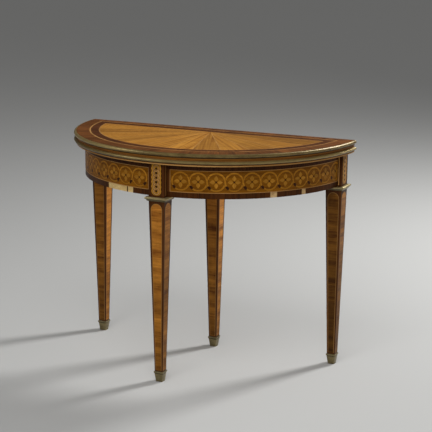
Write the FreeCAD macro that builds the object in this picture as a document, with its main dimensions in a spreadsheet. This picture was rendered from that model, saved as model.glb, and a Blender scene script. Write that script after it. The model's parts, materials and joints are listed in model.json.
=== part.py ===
"""Demilune fold-over games table: a half-round frame on four tapered legs, a fixed leaf, a hinged
leaf that folds back to make a round top, and a rear leg on a drawer that pulls out to carry it."""

import FreeCAD, Part
import Sketcher
import os
import re

doc = FreeCAD.newDocument("demilune_games_table")

# Driving dimensions, in millimetres. Names that end in share are fractions of the size they follow.
SIZES = {
    # whole table
    "table_height": 760,
    "top_radius": 492,
    "overrun": 5,
    "fit_clearance": 0.1,
    # the two leaves and their brass beads
    "leaf_thick": 20,
    "leaf_gap": 0.3,
    "veneer_thick": 1.5,
    "bead_overhang": 8,
    "upper_bead_height": 13.6,
    "lower_bead_height": 12,
    "upper_bead_rise": 2.7,
    "lower_bead_rise": 1.5,
    "bead_tongue_thick": 2.5,
    "bead_tongue_depth": 5,
    "cloth_thick": 1.5,
    "cloth_margin": 60,
    "cloth_back_margin": 45,
    # marquetry of the upper leaf: bands and light lines, from the edge inwards
    "outer_band_width": 43.5,
    "outer_string_width": 5,
    "inner_band_width": 27,
    "inner_string_width": 3,
    "back_outer_band_width": 33,
    "back_inner_band_width": 29,
    # half-round frame
    "apron_overhang": 37,
    "apron_height": 107,
    "apron_thick": 22,
    "lower_band_height": 18,
    "upper_band_height": 18,
    "tenon_thick": 10,
    "tenon_length": 18,
    "tenon_shoulder_height": 14,
    # places where the lower banding has come away, as shares of a quarter turn from the front leg
    "right_loss_one_start_share": 0.502,
    "right_loss_one_width_share": 0.033,
    "right_loss_two_start_share": 0.663,
    "right_loss_two_width_share": 0.0235,
    "left_loss_one_start_share": 0.137,
    "left_loss_one_width_share": 0.032,
    "left_loss_two_start_share": 0.1735,
    "left_loss_two_width_share": 0.129,
    # legs, collars and sabots
    "leg_block_width": 55,
    "leg_foot_width": 28,
    "side_leg_inset": 18,
    "front_leg_inset": 9,
    "back_leg_setback": 31,
    "collar_overhang": 10.5,
    "collar_height": 13,
    "collar_round_radius": 5,
    "collar_bevel_width": 2,
    "sabot_height": 36,
    "sabot_rim_overhang": 2.8,
    "sabot_rim_height": 6.5,
    "sabot_rim_round_radius": 2.2,
    "sabot_neck_overhang": 1,
    "sabot_wall_thick": 3,
    "sabot_base_thick": 4,
    "sabot_foot_round_radius": 1.5,
    "spigot_width": 16,
    # back rails and the guides of the drawer
    "rail_thick": 22,
    "rail_setback": 14,
    "guide_thick": 18,
    "guide_bottom_gap": 10,
    "slide_clearance": 0.4,
    "top_clearance": 0.5,
    "runner_width": 14,
    "runner_height": 12,
    "stop_width": 110,
    "stop_thick": 18,
    "stop_clearance": 2,
    "closing_stop_thick": 12,
    "closing_stop_height": 50,
    # drawer that carries the rear leg
    "drawer_width": 300,
    "drawer_front_gap": 34.6,
    "drawer_held_length": 64,
    "drawer_side_thick": 16,
    "drawer_side_height": 66,
    "drawer_side_bottom_gap": 21,
    "drawer_lap_depth": 8,
    "drawer_end_thick": 16,
    "drawer_end_housing_depth": 6,
    "drawer_bottom_thick": 6,
    "drawer_bottom_gap": 8,
    "drawer_bottom_groove_depth": 4,
    # glue blocks and the screws that hold the fixed leaf
    "glue_block_width": 18,
    "glue_block_turn_share": 0.06,
    "leaf_screw_radius": 2.2,
    "leaf_screw_head_radius": 4.2,
    "leaf_screw_head_height": 3,
    "leaf_screw_bite_depth": 12,
    # hinges
    "hinge_end_margin": 162,
    "hinge_axis_offset": 0.4,
    "plate_length": 60,
    "plate_width": 22,
    "plate_thick": 2.2,
    "knuckle_radius": 3.5,
    "knuckle_clearance": 0.5,
    "knuckle_side_gap": 0.3,
    "pin_radius": 1.5,
    "pin_clearance": 0.05,
    "hinge_screw_radius": 1.4,
    "hinge_screw_head_radius": 3,
    "hinge_screw_head_height": 1.8,
    "hinge_screw_length": 12,
    "hinge_screw_x_share": 0.36,
    "hinge_screw_near_share": 0.42,
    "hinge_screw_far_share": 0.78,
}

# Levels and places that follow from the sizes. Plan places are measured from the middle of the back
# edge of the top, with the front of the table towards -Y.
FORMULAS = {
    "back_edge": "(top_radius - hinge_axis_offset - knuckle_radius) / 2",
    "upper_bottom": "table_height - leaf_thick",
    "upper_bead_z": "table_height - leaf_thick / 2 + upper_bead_rise",
    "veneer_low": "table_height - veneer_thick",
    "seam": "upper_bottom - leaf_gap / 2",
    "lower_top": "upper_bottom - leaf_gap",
    "apron_top": "lower_top - leaf_thick",
    "lower_bead_z": "apron_top + leaf_thick / 2 + lower_bead_rise",
    "apron_bottom": "apron_top - apron_height",
    "frieze_low": "apron_bottom + lower_band_height",
    "frieze_high": "apron_top - upper_band_height",
    "taper_top": "apron_bottom - collar_height",
    "wood_radius": "top_radius - bead_overhang",
    "cloth_radius": "wood_radius - cloth_margin",
    "apron_radius": "top_radius - apron_overhang",
    "core_radius": "apron_radius - veneer_thick",
    "inner_radius": "core_radius - apron_thick",
    "tenon_radius": "core_radius - apron_thick / 2",
    "half_block": "leg_block_width / 2",
    "side_leg_x": "apron_radius - side_leg_inset",
    "side_leg_face": "side_leg_x - half_block",
    "front_leg_y": "front_leg_inset - apron_radius",
    "back_leg_y": "-back_leg_setback",
    "shoulder_y": "back_leg_y - half_block",
    "tenon_low": "apron_bottom + tenon_shoulder_height",
    "tenon_high": "apron_top - tenon_shoulder_height",
    "front_tenon_y": "-sqrt(tenon_radius ^ 2 - half_block ^ 2)",
    "side_tenon_x": "sqrt(tenon_radius ^ 2 - shoulder_y ^ 2)",
    "rail_back": "-rail_setback",
    "rail_front": "rail_back - rail_thick",
    "rail_middle": "rail_back - rail_thick / 2",
    "half_drawer": "drawer_width / 2",
    "opening_x": "half_drawer + slide_clearance",
    "runner_x": "half_drawer - runner_width",
    "drawer_low": "apron_bottom + drawer_side_bottom_gap",
    "drawer_high": "drawer_low + drawer_side_height",
    "drawer_end": "drawer_front_gap - sqrt(inner_radius ^ 2 - half_drawer ^ 2)",
    "drawer_end_back": "drawer_end + drawer_end_thick",
    "drawer_side_x": "half_drawer - drawer_side_thick",
    "drawer_bottom_low": "drawer_low + drawer_bottom_gap",
    "drawer_bottom_high": "drawer_bottom_low + drawer_bottom_thick",
    "runner_top": "drawer_low - slide_clearance",
    "closing_face": "drawer_end - slide_clearance",
    "stop_face": "rail_front - drawer_held_length + drawer_end_thick + slide_clearance",
    "screw_circle": "inner_radius - glue_block_width / 2",
    "block_bottom": "apron_top - glue_block_width",
    "hinge_x": "top_radius - hinge_end_margin",
    "knuckle_front": "hinge_axis_offset - knuckle_radius - knuckle_clearance",
    "collar_width": "leg_block_width + 2 * collar_overhang",
    "sabot_rim_width": "leg_foot_width + 2 * sabot_rim_overhang",
    "sabot_rim_low": "sabot_height - sabot_rim_height",
    "sabot_neck_width": "leg_foot_width + 2 * sabot_neck_overhang",
    "sabot_foot_width": "spigot_width + 2 * sabot_wall_thick",
}

sheet = doc.addObject("Spreadsheet::Sheet", "sizes")
for row, (alias, size) in enumerate(SIZES.items(), start=1):
    sheet.set(f"A{row}", alias)
    sheet.set(f"B{row}", str(size))
    sheet.setAlias(f"B{row}", alias)
doc.recompute()

pieces = {}


def expression(text):
    """Writes a formula in cells of the sheet only."""

    def cells(match):
        word = match[0]
        if word in FORMULAS:
            return f"({expression(FORMULAS[word])})"
        return f"sizes.{word}" if word in SIZES else word

    return re.sub(r"[a-z_]+", cells, text)


def value(text):
    """The number that a formula gives now."""
    return float(sheet.evalExpression(expression(text)))


def bind(thing, **formulas):
    for name, text in formulas.items():
        thing.setExpression(name, expression(text))
    return thing


def place(thing, x="0", y="0", z="0"):
    """Puts a thing at a plan place, so its own origin lies there."""
    thing.setExpression("Placement.Base.x", expression(x))
    thing.setExpression("Placement.Base.y", expression(f"back_edge + ({y})"))
    thing.setExpression("Placement.Base.z", expression(z))
    return thing


def keep(node, thing):
    """Names a finished sub-part, which names its file."""
    thing.Label = node
    pieces[node] = thing
    return thing


def span(low, high):
    return f"({high}) - ({low})"


def box(name, x, y, z):
    """A block between low and high plan places on each axis."""
    thing = doc.addObject("Part::Box", name)
    bind(thing, Length=span(*x), Width=span(*y), Height=span(*z))
    return place(thing, x[0], y[0], z[0])


def drum(name, radius, z, start="0", turn="360", x="0", y="0"):
    """An upright cylinder, or a sector of one that starts at an angle from +X."""
    thing = doc.addObject("Part::Cylinder", name)
    bind(thing, Radius=radius, Height=span(*z), Angle=turn)
    thing.setExpression("Placement.Rotation.Angle", expression(start))
    return place(thing, x, y, z[0])


def lying_drum(name, radius, x, y, z):
    """A cylinder along X."""
    thing = doc.addObject("Part::Cylinder", name)
    bind(thing, Radius=radius, Height=span(*x))
    along_x = FreeCAD.Rotation(FreeCAD.Vector(0, 1, 0), 90)
    thing.Placement = FreeCAD.Placement(FreeCAD.Vector(), along_x)
    return place(thing, x[0], y, z)


def cone(name, low_radius, high_radius, z, x, y):
    thing = doc.addObject("Part::Cone", name)
    bind(thing, Radius1=low_radius, Radius2=high_radius, Height=span(*z))
    return place(thing, x, y, z[0])


def fuse(name, *things):
    thing = doc.addObject("Part::MultiFuse", name)
    thing.Shapes = list(things)
    return thing


def common(name, *things):
    thing = doc.addObject("Part::MultiCommon", name)
    thing.Shapes = list(things)
    return thing


def cut(name, base, *tools):
    thing = doc.addObject("Part::Cut", name)
    thing.Base = base
    thing.Tool = tools[0] if len(tools) == 1 else fuse(f"{name}_tools", *tools)
    return thing


def group(name, *things):
    thing = doc.addObject("Part::Compound", name)
    thing.Links = list(things)
    return thing


def mirrored(name, source):
    """The same piece on the other side of the middle of the table."""
    thing = doc.addObject("Part::Mirroring", name)
    thing.Source = source
    thing.Normal = FreeCAD.Vector(1, 0, 0)
    return thing


def both_sides(node, right):
    """Keeps a right-hand piece and its mirror image."""
    keep(f"right_{node}", right)
    keep(f"left_{node}", mirrored(f"left_{node}", right))


def sketch(body, name, plane, corners, lift=None, arc=None):
    """A closed outline of straight lines through corners given as formulas. An arc replaces the line that
    leaves the corner of that number, with its centre at the X given."""
    outline = body.newObject("Sketcher::SketchObject", name)
    origin = next(f for f in body.Origin.OriginFeatures if f.Role == plane)
    outline.AttachmentSupport = (origin, [""])
    outline.MapMode = "FlatFace"
    if lift:
        outline.setExpression("AttachmentOffset.Base.z", expression(lift))
    points = [FreeCAD.Vector(value(x), value(y), 0) for x, y in corners]
    followers = points[1:] + points[:1]
    for number, (point, following) in enumerate(zip(points, followers)):
        if arc and arc[0] == number:
            centre = FreeCAD.Vector(value(arc[1]), (point.y + following.y) / 2, 0)
            bulge = centre + FreeCAD.Vector((point - centre).Length, 0, 0)
            outline.addGeometry(Part.Arc(point, bulge, following))
        else:
            outline.addGeometry(Part.LineSegment(point, following))
    limits = []

    def hold(kind, point, text):
        """Keeps a point at a distance from the origin that a formula gives."""
        number = value(text)
        ends = (-1, 1, *point) if number > 0 else (*point, -1, 1)
        sign = "" if number > 0 else "-"
        index = outline.addConstraint(Sketcher.Constraint(kind, *ends, abs(number)))
        limits.append((index, f"{sign}({text})"))

    for number, (x, y) in enumerate(corners):
        before = (number or len(corners)) - 1
        outline.addConstraint(Sketcher.Constraint("Coincident", before, 2, number, 1))
        for kind, axis, text in (("DistanceX", -2, x), ("DistanceY", -1, y)):
            if abs(value(text)) < 1e-9:
                outline.addConstraint(Sketcher.Constraint("PointOnObject", number, 1, axis))
            else:
                hold(kind, (number, 1), text)
    if arc:
        hold("DistanceX", (arc[0], 3), arc[1])
    for index, text in limits:
        outline.setExpression(f"Constraints[{index}]", expression(text))
    return outline


def square(width):
    """Corners of a square about the origin."""
    half = f"{width} / 2"
    return [(f"-{half}", f"-{half}"), (half, f"-{half}"), (half, half), (f"-{half}", half)]


def pad(body, name, profile, length):
    feature = body.newObject("PartDesign::Pad", name)
    feature.Profile = profile
    bind(feature, Length=length)
    return feature


def pocket_up(body, name, profile, length):
    """A pocket that rises from its sketch."""
    feature = body.newObject("PartDesign::Pocket", name)
    feature.Profile = profile
    feature.Reversed = True
    bind(feature, Length=length)
    return feature


def level_face(feature, highest):
    """The name of a feature's highest or lowest level face."""
    doc.recompute()
    faces = feature.Shape.Faces
    level = [n for n, f in enumerate(faces) if abs(abs(f.normalAt(0, 0).z) - 1) < 1e-6]
    pick = max if highest else min
    chosen = pick(level, key=lambda n: faces[n].CenterOfMass.z)
    return f"Face{chosen + 1}"


def rounded(body, name, feature, highest, radius):
    """A fillet along the edges of a feature's highest or lowest level face."""
    edge = body.newObject("PartDesign::Fillet", name)
    edge.Base = (feature, [level_face(feature, highest)])
    return bind(edge, Radius=radius)


# Leaves


def half_disc(name, radius, z):
    return drum(name, radius, z, start="180", turn="180")


def field(name, radius, back, z):
    """A half disc whose straight side lies a little in front of the back edge."""
    disc = half_disc(f"{name}_disc", radius, z)
    strip = box(f"{name}_strip", (f"-({radius})", radius), (f"-({radius}) - overrun", f"-({back})"), z)
    return common(name, disc, strip)


def hinge_places():
    return (("left", "-hinge_x"), ("centre", "0"), ("right", "hinge_x"))


def hinge_seats(leaf, plate_z, knuckle_z):
    """Recesses in a leaf for the hinge plates and their knuckles."""
    seats = []
    for side, x in hinge_places():
        ends = (f"{x} - plate_length / 2 - fit_clearance", f"{x} + plate_length / 2 + fit_clearance")
        plate_y = ("-plate_width - fit_clearance", "overrun")
        seats.append(box(f"{leaf}_{side}_plate_seat", ends, plate_y, plate_z))
        seats.append(box(f"{leaf}_{side}_knuckle_seat", ends, ("knuckle_front", "overrun"), knuckle_z))
    return seats


def edge_slot(leaf, middle):
    """The slot round a leaf that takes the tongue of its brass bead."""
    half = "(bead_tongue_thick / 2 + fit_clearance)"
    z = (f"{middle} - {half}", f"{middle} + {half}")
    outer = half_disc(f"{leaf}_slot_outer", "wood_radius + overrun", z)
    inner = half_disc(f"{leaf}_slot_inner", "wood_radius - bead_tongue_depth - fit_clearance", z)
    return cut(f"{leaf}_slot", outer, inner)


def bead(node, middle, height):
    """A half-round brass moulding with a tongue, turned round the curved edge of a leaf."""
    body = doc.addObject("PartDesign::Body", node)
    lip = f"top_radius - {height} / 2"
    root = "wood_radius - bead_tongue_depth"
    corners = [
        ("wood_radius", f"-{height} / 2"),
        (lip, f"-{height} / 2"),
        (lip, f"{height} / 2"),
        ("wood_radius", f"{height} / 2"),
        ("wood_radius", "bead_tongue_thick / 2"),
        (root, "bead_tongue_thick / 2"),
        (root, "-bead_tongue_thick / 2"),
        ("wood_radius", "-bead_tongue_thick / 2"),
    ]
    profile = sketch(body, f"{node}_profile", "XZ_Plane", corners, arc=(1, lip))
    turned = body.newObject("PartDesign::Revolution", f"{node}_turned")
    turned.Profile = profile
    turned.ReferenceAxis = (profile, ["V_Axis"])
    turned.Angle = 180
    turned.Reversed = True
    keep(node, place(body, z=middle))


def hinge_screws(node, seat, into):
    """Countersunk screws through the hinge plates of one leaf, as separate solids. The leaf lies above
    or below its plates: into is the sign of that direction."""
    screws = []
    for side, x in hinge_places():
        for column, sign in (("left", "-"), ("right", "+")):
            for row in ("near", "far"):
                name = f"{node}_{side}_{column}_{row}"
                spot_x = f"{x} {sign} plate_length * hinge_screw_x_share"
                spot_y = f"-plate_width * hinge_screw_{row}_share"
                head_end = f"{seat} {into} hinge_screw_head_height"
                tip = f"{seat} {into} hinge_screw_length"
                radii = ["hinge_screw_head_radius", "hinge_screw_radius"]
                levels = [seat, head_end, tip]
                if into == "-":
                    radii.reverse()
                    levels.reverse()
                    head_z, shank_z = levels[1:], levels[:2]
                else:
                    head_z, shank_z = levels[:2], levels[1:]
                head = cone(f"{name}_head", *radii, head_z, spot_x, spot_y)
                shank = drum(f"{name}_shank", "hinge_screw_radius", shank_z, x=spot_x, y=spot_y)
                screws.append(fuse(name, head, shank))
    return keep(node, group(node, *screws))


def leaf_screw(number, angle):
    """A screw up through a glue block into the fixed leaf."""
    spot = {"x": f"screw_circle * cos({angle})", "y": f"screw_circle * sin({angle})"}
    head_top = "block_bottom + leaf_screw_head_height"
    tip = "apron_top + leaf_screw_bite_depth"
    head = drum(f"leaf_screw_head_{number}", "leaf_screw_head_radius", ("block_bottom", head_top), **spot)
    shank = drum(f"leaf_screw_shank_{number}", "leaf_screw_radius", (head_top, tip), **spot)
    return fuse(f"leaf_screw_{number}", head, shank)


def block_angles():
    """Plan angles of the glue blocks: one between the front leg and each guide, two beyond the guide."""
    leg_side = "asin(half_block / inner_radius)"
    guide_near = "asin(opening_x / inner_radius)"
    guide_far = "asin((opening_x + guide_thick) / inner_radius)"
    shoulder = "acos(-shoulder_y / inner_radius)"
    turns = [
        f"({leg_side} + {guide_near}) / 2",
        f"(2 * {guide_far} + {shoulder}) / 3",
        f"({guide_far} + 2 * {shoulder}) / 3",
    ]
    return [f"(270deg {sign} {turn})" for sign in ("-", "+") for turn in turns]


upper_hinge_screws = hinge_screws("upper_hinge_screws", "upper_bottom", "+")
lower_hinge_screws = hinge_screws("lower_hinge_screws", "lower_top", "-")
leaf_screws = group("leaf_screws", *[leaf_screw(n, a) for n, a in enumerate(block_angles())])
keep("leaf_screws", leaf_screws)


def upper_leaf():
    board = half_disc("upper_board", "wood_radius", ("upper_bottom", "veneer_low"))
    cloth_z = ("upper_bottom", "upper_bottom + cloth_thick")
    cloth_seat = field("upper_cloth_seat", "cloth_radius", "cloth_back_margin",
                       ("upper_bottom - overrun", cloth_z[1]))
    seats = hinge_seats("upper", ("upper_bottom - overrun", "upper_bottom + plate_thick"),
                        ("upper_bottom - overrun", "seam + knuckle_radius + knuckle_clearance"))
    slot = edge_slot("upper", "upper_bead_z")
    keep("upper_leaf", cut("upper_leaf", board, slot, cloth_seat, *seats, upper_hinge_screws))
    bead("upper_bead", "upper_bead_z", "upper_bead_height")
    keep("upper_cloth", field("upper_cloth", "cloth_radius - fit_clearance",
                              "cloth_back_margin + fit_clearance", cloth_z))


def lower_leaf():
    board = half_disc("lower_board", "wood_radius", ("apron_top", "lower_top"))
    cloth_z = ("lower_top - cloth_thick", "lower_top")
    cloth_seat = field("lower_cloth_seat", "cloth_radius", "cloth_back_margin",
                       (cloth_z[0], "lower_top + overrun"))
    seats = hinge_seats("lower", ("lower_top - plate_thick", "lower_top + overrun"),
                        ("seam - knuckle_radius - knuckle_clearance", "lower_top + overrun"))
    slot = edge_slot("lower", "lower_bead_z")
    keep("lower_leaf", cut("lower_leaf", board, slot, cloth_seat, *seats, lower_hinge_screws, leaf_screws))
    bead("lower_bead", "lower_bead_z", "lower_bead_height")
    keep("lower_cloth", field("lower_cloth", "cloth_radius - fit_clearance",
                              "cloth_back_margin + fit_clearance", cloth_z))


def marquetry():
    """The veneers of the upper leaf: two bands, the light line inside each, and the fan field. Each is
    what lies between its own outline and the next one."""
    bands = [
        ("outer_banding", "outer_band_width", "back_outer_band_width"),
        ("outer_stringing", "outer_string_width", "outer_string_width"),
        ("inner_banding", "inner_band_width", "back_inner_band_width"),
        ("inner_stringing", "inner_string_width", "inner_string_width"),
    ]
    z = ("veneer_low", "table_height")
    radius, back = "wood_radius", "0"
    outline = half_disc("top_outline", radius, z)
    for node, width, back_width in bands:
        radius, back = f"{radius} - {width}", f"{back} + {back_width}"
        inside = field(f"{node}_inside", radius, back, z)
        keep(node, cut(node, outline, inside))
        outline = field(f"{node}_next", radius, back, z)
    keep("fan_field", outline)


upper_leaf()
lower_leaf()
marquetry()

# Half-round frame


def quarter_ring(name, inner, outer, z):
    """A right-hand quarter of a ring, between the shoulders of the front leg and the right leg."""
    ring = cut(f"{name}_ring", drum(f"{name}_outer", outer, z, start="270", turn="90"),
               drum(f"{name}_inner", inner, z))
    room = box(f"{name}_room", ("half_block", f"{outer} + overrun"),
               (f"-({outer}) - overrun", "shoulder_y"), z)
    return common(name, ring, room)


TENON_Z = ("tenon_low", "tenon_high")


def tenon_sides(middle, clearance):
    """Low and high sides of a tenon about its middle, or of its mortise, which has a clearance."""
    half = f"(tenon_thick / 2 + {clearance})"
    return (f"{middle} - {half}", f"{middle} + {half}")


def block_tenon(name, side, y, clearance="0"):
    """A tenon into the side of a leg in the middle of the table."""
    if side == "right":
        x = ("half_block - tenon_length", "half_block")
    else:
        x = ("-half_block", "tenon_length - half_block")
    return box(name, x, tenon_sides(y, clearance), TENON_Z)


def side_tenon(name, clearance="0"):
    """A tenon of the apron into the front of the right leg."""
    y = ("shoulder_y", "shoulder_y + tenon_length")
    return box(name, tenon_sides("side_tenon_x", clearance), y, TENON_Z)


def rail_tenon(name, clearance="0"):
    """A tenon of the back rail into the right leg."""
    x = ("side_leg_face", "side_leg_face + tenon_length")
    return box(name, x, tenon_sides("rail_middle", clearance), TENON_Z)


def aprons():
    core = quarter_ring("right_apron_core", "inner_radius", "core_radius", ("apron_bottom", "apron_top"))
    both_sides("apron", fuse("right_apron", core,
                             block_tenon("right_apron_front_tenon", "right", "front_tenon_y"),
                             side_tenon("right_apron_side_tenon")))


def loss(side, number):
    """The sector where a piece of the lower banding is gone."""
    begin = f"{side}_loss_{number}_start_share"
    width = f"{side}_loss_{number}_width_share"
    start = f"270 + 90 * {begin}" if side == "right" else f"270 - 90 * ({begin} + {width})"
    z = ("apron_bottom - overrun", "frieze_low + overrun")
    return drum(f"{side}_loss_{number}", "apron_radius + overrun", z, start=start, turn=f"90 * {width}")


def frieze():
    """The veneers outside the apron cores."""
    both_sides("frieze", quarter_ring("right_frieze", "core_radius", "apron_radius",
                                      ("frieze_low", "frieze_high")))
    both_sides("upper_banding", quarter_ring("right_upper_banding", "core_radius", "apron_radius",
                                             ("frieze_high", "apron_top")))
    band = quarter_ring("right_whole_band", "core_radius", "apron_radius", ("apron_bottom", "frieze_low"))
    for side, whole in (("right", band), ("left", mirrored("left_whole_band", band))):
        losses = [loss(side, number) for number in ("one", "two")]
        keep(f"{side}_lower_banding", cut(f"{side}_lower_banding", whole, *losses))


aprons()
frieze()

# Legs, with their collars and sabots


def about(middle, half):
    return (f"{middle} - {half}", f"{middle} + {half}")


def leg(name, x, y, top, *mortises):
    """A square block above a square taper, with a spigot for the sabot."""
    block = box(f"{name}_block", about(x, "half_block"), about(y, "half_block"), ("taper_top", top))
    taper = doc.addObject("Part::Wedge", f"{name}_taper")
    bind(taper, Ymin="sabot_height", Ymax="taper_top")
    for axis in "XZ":
        bind(taper, **{f"{axis}min": "-leg_foot_width / 2", f"{axis}max": "leg_foot_width / 2",
                       f"{axis}2min": "-half_block", f"{axis}2max": "half_block"})
    upright = FreeCAD.Rotation(FreeCAD.Vector(1, 0, 0), 90)
    taper.Placement = FreeCAD.Placement(FreeCAD.Vector(), upright)
    place(taper, x, y)
    spigot = box(f"{name}_spigot", about(x, "spigot_width / 2"), about(y, "spigot_width / 2"),
                 ("sabot_base_thick", "sabot_height"))
    return cut(name, fuse(f"{name}_whole", block, taper, spigot), *mortises)


def collar(node, x, y):
    """A square brass moulding round a leg, under its block."""
    body = doc.addObject("PartDesign::Body", node)
    slab = pad(body, f"{node}_slab", sketch(body, f"{node}_outline", "XY_Plane", square("collar_width")),
               "collar_height")
    low = rounded(body, f"{node}_ovolo", slab, False, "collar_round_radius")
    bevel = body.newObject("PartDesign::Chamfer", f"{node}_bevel")
    bevel.Base = (low, [level_face(low, True)])
    bind(bevel, Size="collar_bevel_width")
    opening = sketch(body, f"{node}_opening", "XY_Plane", square("leg_block_width"))
    pocket_up(body, f"{node}_hole", opening, "collar_height")
    keep(node, place(body, x, y, "taper_top"))


def sabot(node, x, y):
    """A tapered brass shoe with a rounded rim and a socket for the leg's spigot."""
    body = doc.addObject("PartDesign::Body", node)
    rim_outline = sketch(body, f"{node}_rim_outline", "XY_Plane", square("sabot_rim_width"), "sabot_rim_low")
    rim = pad(body, f"{node}_rim", rim_outline, "sabot_rim_height")
    above = rounded(body, f"{node}_rim_above", rim, True, "sabot_rim_round_radius")
    rounded(body, f"{node}_rim_below", above, False, "sabot_rim_round_radius")
    cup = body.newObject("PartDesign::AdditiveLoft", f"{node}_cup")
    cup.Profile = sketch(body, f"{node}_foot", "XY_Plane", square("sabot_foot_width"))
    cup.Sections = [sketch(body, f"{node}_neck", "XY_Plane", square("sabot_neck_width"),
                           "sabot_rim_low + sabot_rim_height / 2")]
    cup.Ruled = True
    rounded(body, f"{node}_sole", cup, False, "sabot_foot_round_radius")
    opening = sketch(body, f"{node}_opening", "XY_Plane", square("spigot_width"), "sabot_base_thick")
    pocket_up(body, f"{node}_socket", opening, "sabot_height - sabot_base_thick")
    keep(node, place(body, x, y))


def legs():
    mortises = [block_tenon(f"front_{side}_mortise", side, "front_tenon_y", "fit_clearance")
                for side in ("right", "left")]
    keep("front_leg", leg("front_leg", "0", "front_leg_y", "apron_top", *mortises))
    both_sides("leg", leg("right_leg", "side_leg_x", "back_leg_y", "apron_top",
                          side_tenon("right_leg_apron_mortise", "fit_clearance"),
                          rail_tenon("right_leg_rail_mortise", "fit_clearance")))
    rear_mortises = [block_tenon(f"rear_{side}_mortise", side, "rail_middle", "fit_clearance")
                     for side in ("right", "left")]
    keep("rear_leg", leg("rear_leg", "0", "back_leg_y", "apron_top - top_clearance", *rear_mortises))
    for name, x, y in (("front", "0", "front_leg_y"), ("right", "side_leg_x", "back_leg_y"),
                       ("left", "-side_leg_x", "back_leg_y"), ("rear", "0", "back_leg_y")):
        collar(f"{name}_collar", x, y)
        sabot(f"{name}_sabot", x, y)


legs()

# Back rails, and the guides that the drawer runs in


def carcass():
    rail = box("right_back_rail_bar", ("opening_x", "side_leg_face"), ("rail_front", "rail_back"),
               ("apron_bottom", "apron_top"))
    both_sides("back_rail", fuse("right_back_rail", rail, rail_tenon("right_back_rail_tenon")))

    guide = box("right_guide_bar", ("opening_x", "opening_x + guide_thick"), ("-apron_radius", "rail_front"),
                ("apron_bottom + guide_bottom_gap", "apron_top"))
    hollow = drum("right_guide_end", "inner_radius", ("apron_bottom", "apron_top"))
    both_sides("guide", common("right_guide", guide, hollow))

    strip_x = ("runner_x", "opening_x")
    strip_y = ("closing_face - closing_stop_thick", "rail_front")
    both_sides("runner", box("right_runner", strip_x, strip_y, ("runner_top - runner_height", "runner_top")))
    both_sides("kicker", box("right_kicker", strip_x, strip_y, ("drawer_high + slide_clearance", "apron_top")))
    closing = box("right_closing_stop", strip_x, ("closing_face - closing_stop_thick", "closing_face"),
                  ("runner_top", "runner_top + closing_stop_height"))
    keep("closing_stops", group("closing_stops", closing, mirrored("left_closing_stop", closing)))
    keep("pull_out_stop", box("pull_out_stop", about("0", "stop_width / 2"),
                              ("stop_face", "stop_face + stop_thick"),
                              ("drawer_high + stop_clearance", "apron_top")))


def glue_block(number, angle):
    z = ("block_bottom", "apron_top")
    start = f"{angle} - 45deg * glue_block_turn_share"
    outer = drum(f"glue_block_outer_{number}", "inner_radius", z, start, "90 * glue_block_turn_share")
    inner = drum(f"glue_block_inner_{number}", "inner_radius - glue_block_width", z)
    return cut(f"glue_block_{number}", outer, inner)


carcass()
blocks = group("glue_blocks_whole", *[glue_block(n, a) for n, a in enumerate(block_angles())])
keep("glue_blocks", cut("glue_blocks", blocks, leaf_screws))

# Drawer that carries the rear leg


def drawer():
    side_z = ("drawer_low", "drawer_high")
    end_y = ("drawer_end", "drawer_end_back")
    bottom_y = ("drawer_end_back", "rail_front")
    bottom_z = ("drawer_bottom_low", "drawer_bottom_high")
    groove_x = "drawer_side_x + drawer_bottom_groove_depth"
    housing_x = "drawer_side_x + drawer_end_housing_depth"

    bar = box("right_drawer_rail_bar", ("half_block", "half_drawer"), ("rail_front", "rail_back"),
              ("apron_bottom", "apron_top - top_clearance"))
    tenon = block_tenon("right_drawer_rail_tenon", "right", "rail_middle")
    lap = box("right_drawer_rail_lap", ("drawer_side_x", "half_drawer + overrun"),
              ("rail_front - overrun", "rail_front + drawer_lap_depth"), side_z)
    both_sides("drawer_rail", cut("right_drawer_rail", fuse("right_drawer_rail_whole", bar, tenon), lap))

    side = box("right_drawer_side_board", ("drawer_side_x", "half_drawer"),
               ("drawer_end", "rail_front + drawer_lap_depth"), side_z)
    housing = box("right_drawer_side_housing", ("drawer_side_x - overrun", housing_x), end_y, side_z)
    groove = box("right_drawer_side_groove", ("drawer_side_x - overrun", groove_x), bottom_y, bottom_z)
    both_sides("drawer_side", cut("right_drawer_side", side, housing, groove))

    board = box("drawer_end_board", about("0", f"({housing_x})"), end_y, side_z)
    catch = box("drawer_end_catch", about("0", "stop_width / 2"), end_y,
                ("drawer_high", "apron_top - stop_clearance"))
    keep("drawer_inner_end", fuse("drawer_inner_end", board, catch))

    panel = box("drawer_bottom_panel", about("0", f"({groove_x})"), bottom_y, bottom_z)
    notch = box("drawer_bottom_notch", about("0", "(half_block + fit_clearance)"),
                ("shoulder_y - fit_clearance", "rail_front + overrun"), bottom_z)
    keep("drawer_bottom", cut("drawer_bottom", panel, notch))


drawer()

# Hinges


def hinge_plate(node, x, thirds, bore, z, screws):
    """A plate let into a leaf, with the barrels that it carries, each in a third of its length."""
    solids = [box(f"{node}_flat", about(x, "plate_length / 2"), ("-plate_width", "knuckle_front"), z)]
    holes = []
    for third in thirds:
        left = f"{x} + plate_length * ({third} / 3 - 1 / 2)"
        ends = (f"{left} + knuckle_side_gap / 2", f"{left} + plate_length / 3 - knuckle_side_gap / 2")
        through = (f"{ends[0]} - overrun", f"{ends[1]} + overrun")
        strap_y = ("knuckle_front - knuckle_clearance", "hinge_axis_offset")
        solids.append(lying_drum(f"{node}_barrel_{third}", "knuckle_radius", ends, "hinge_axis_offset", "seam"))
        solids.append(box(f"{node}_strap_{third}", ends, strap_y, z))
        holes.append(lying_drum(f"{node}_bore_{third}", bore, through, "hinge_axis_offset", "seam"))
    keep(node, cut(node, fuse(f"{node}_whole", *solids), *holes, screws))


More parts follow.
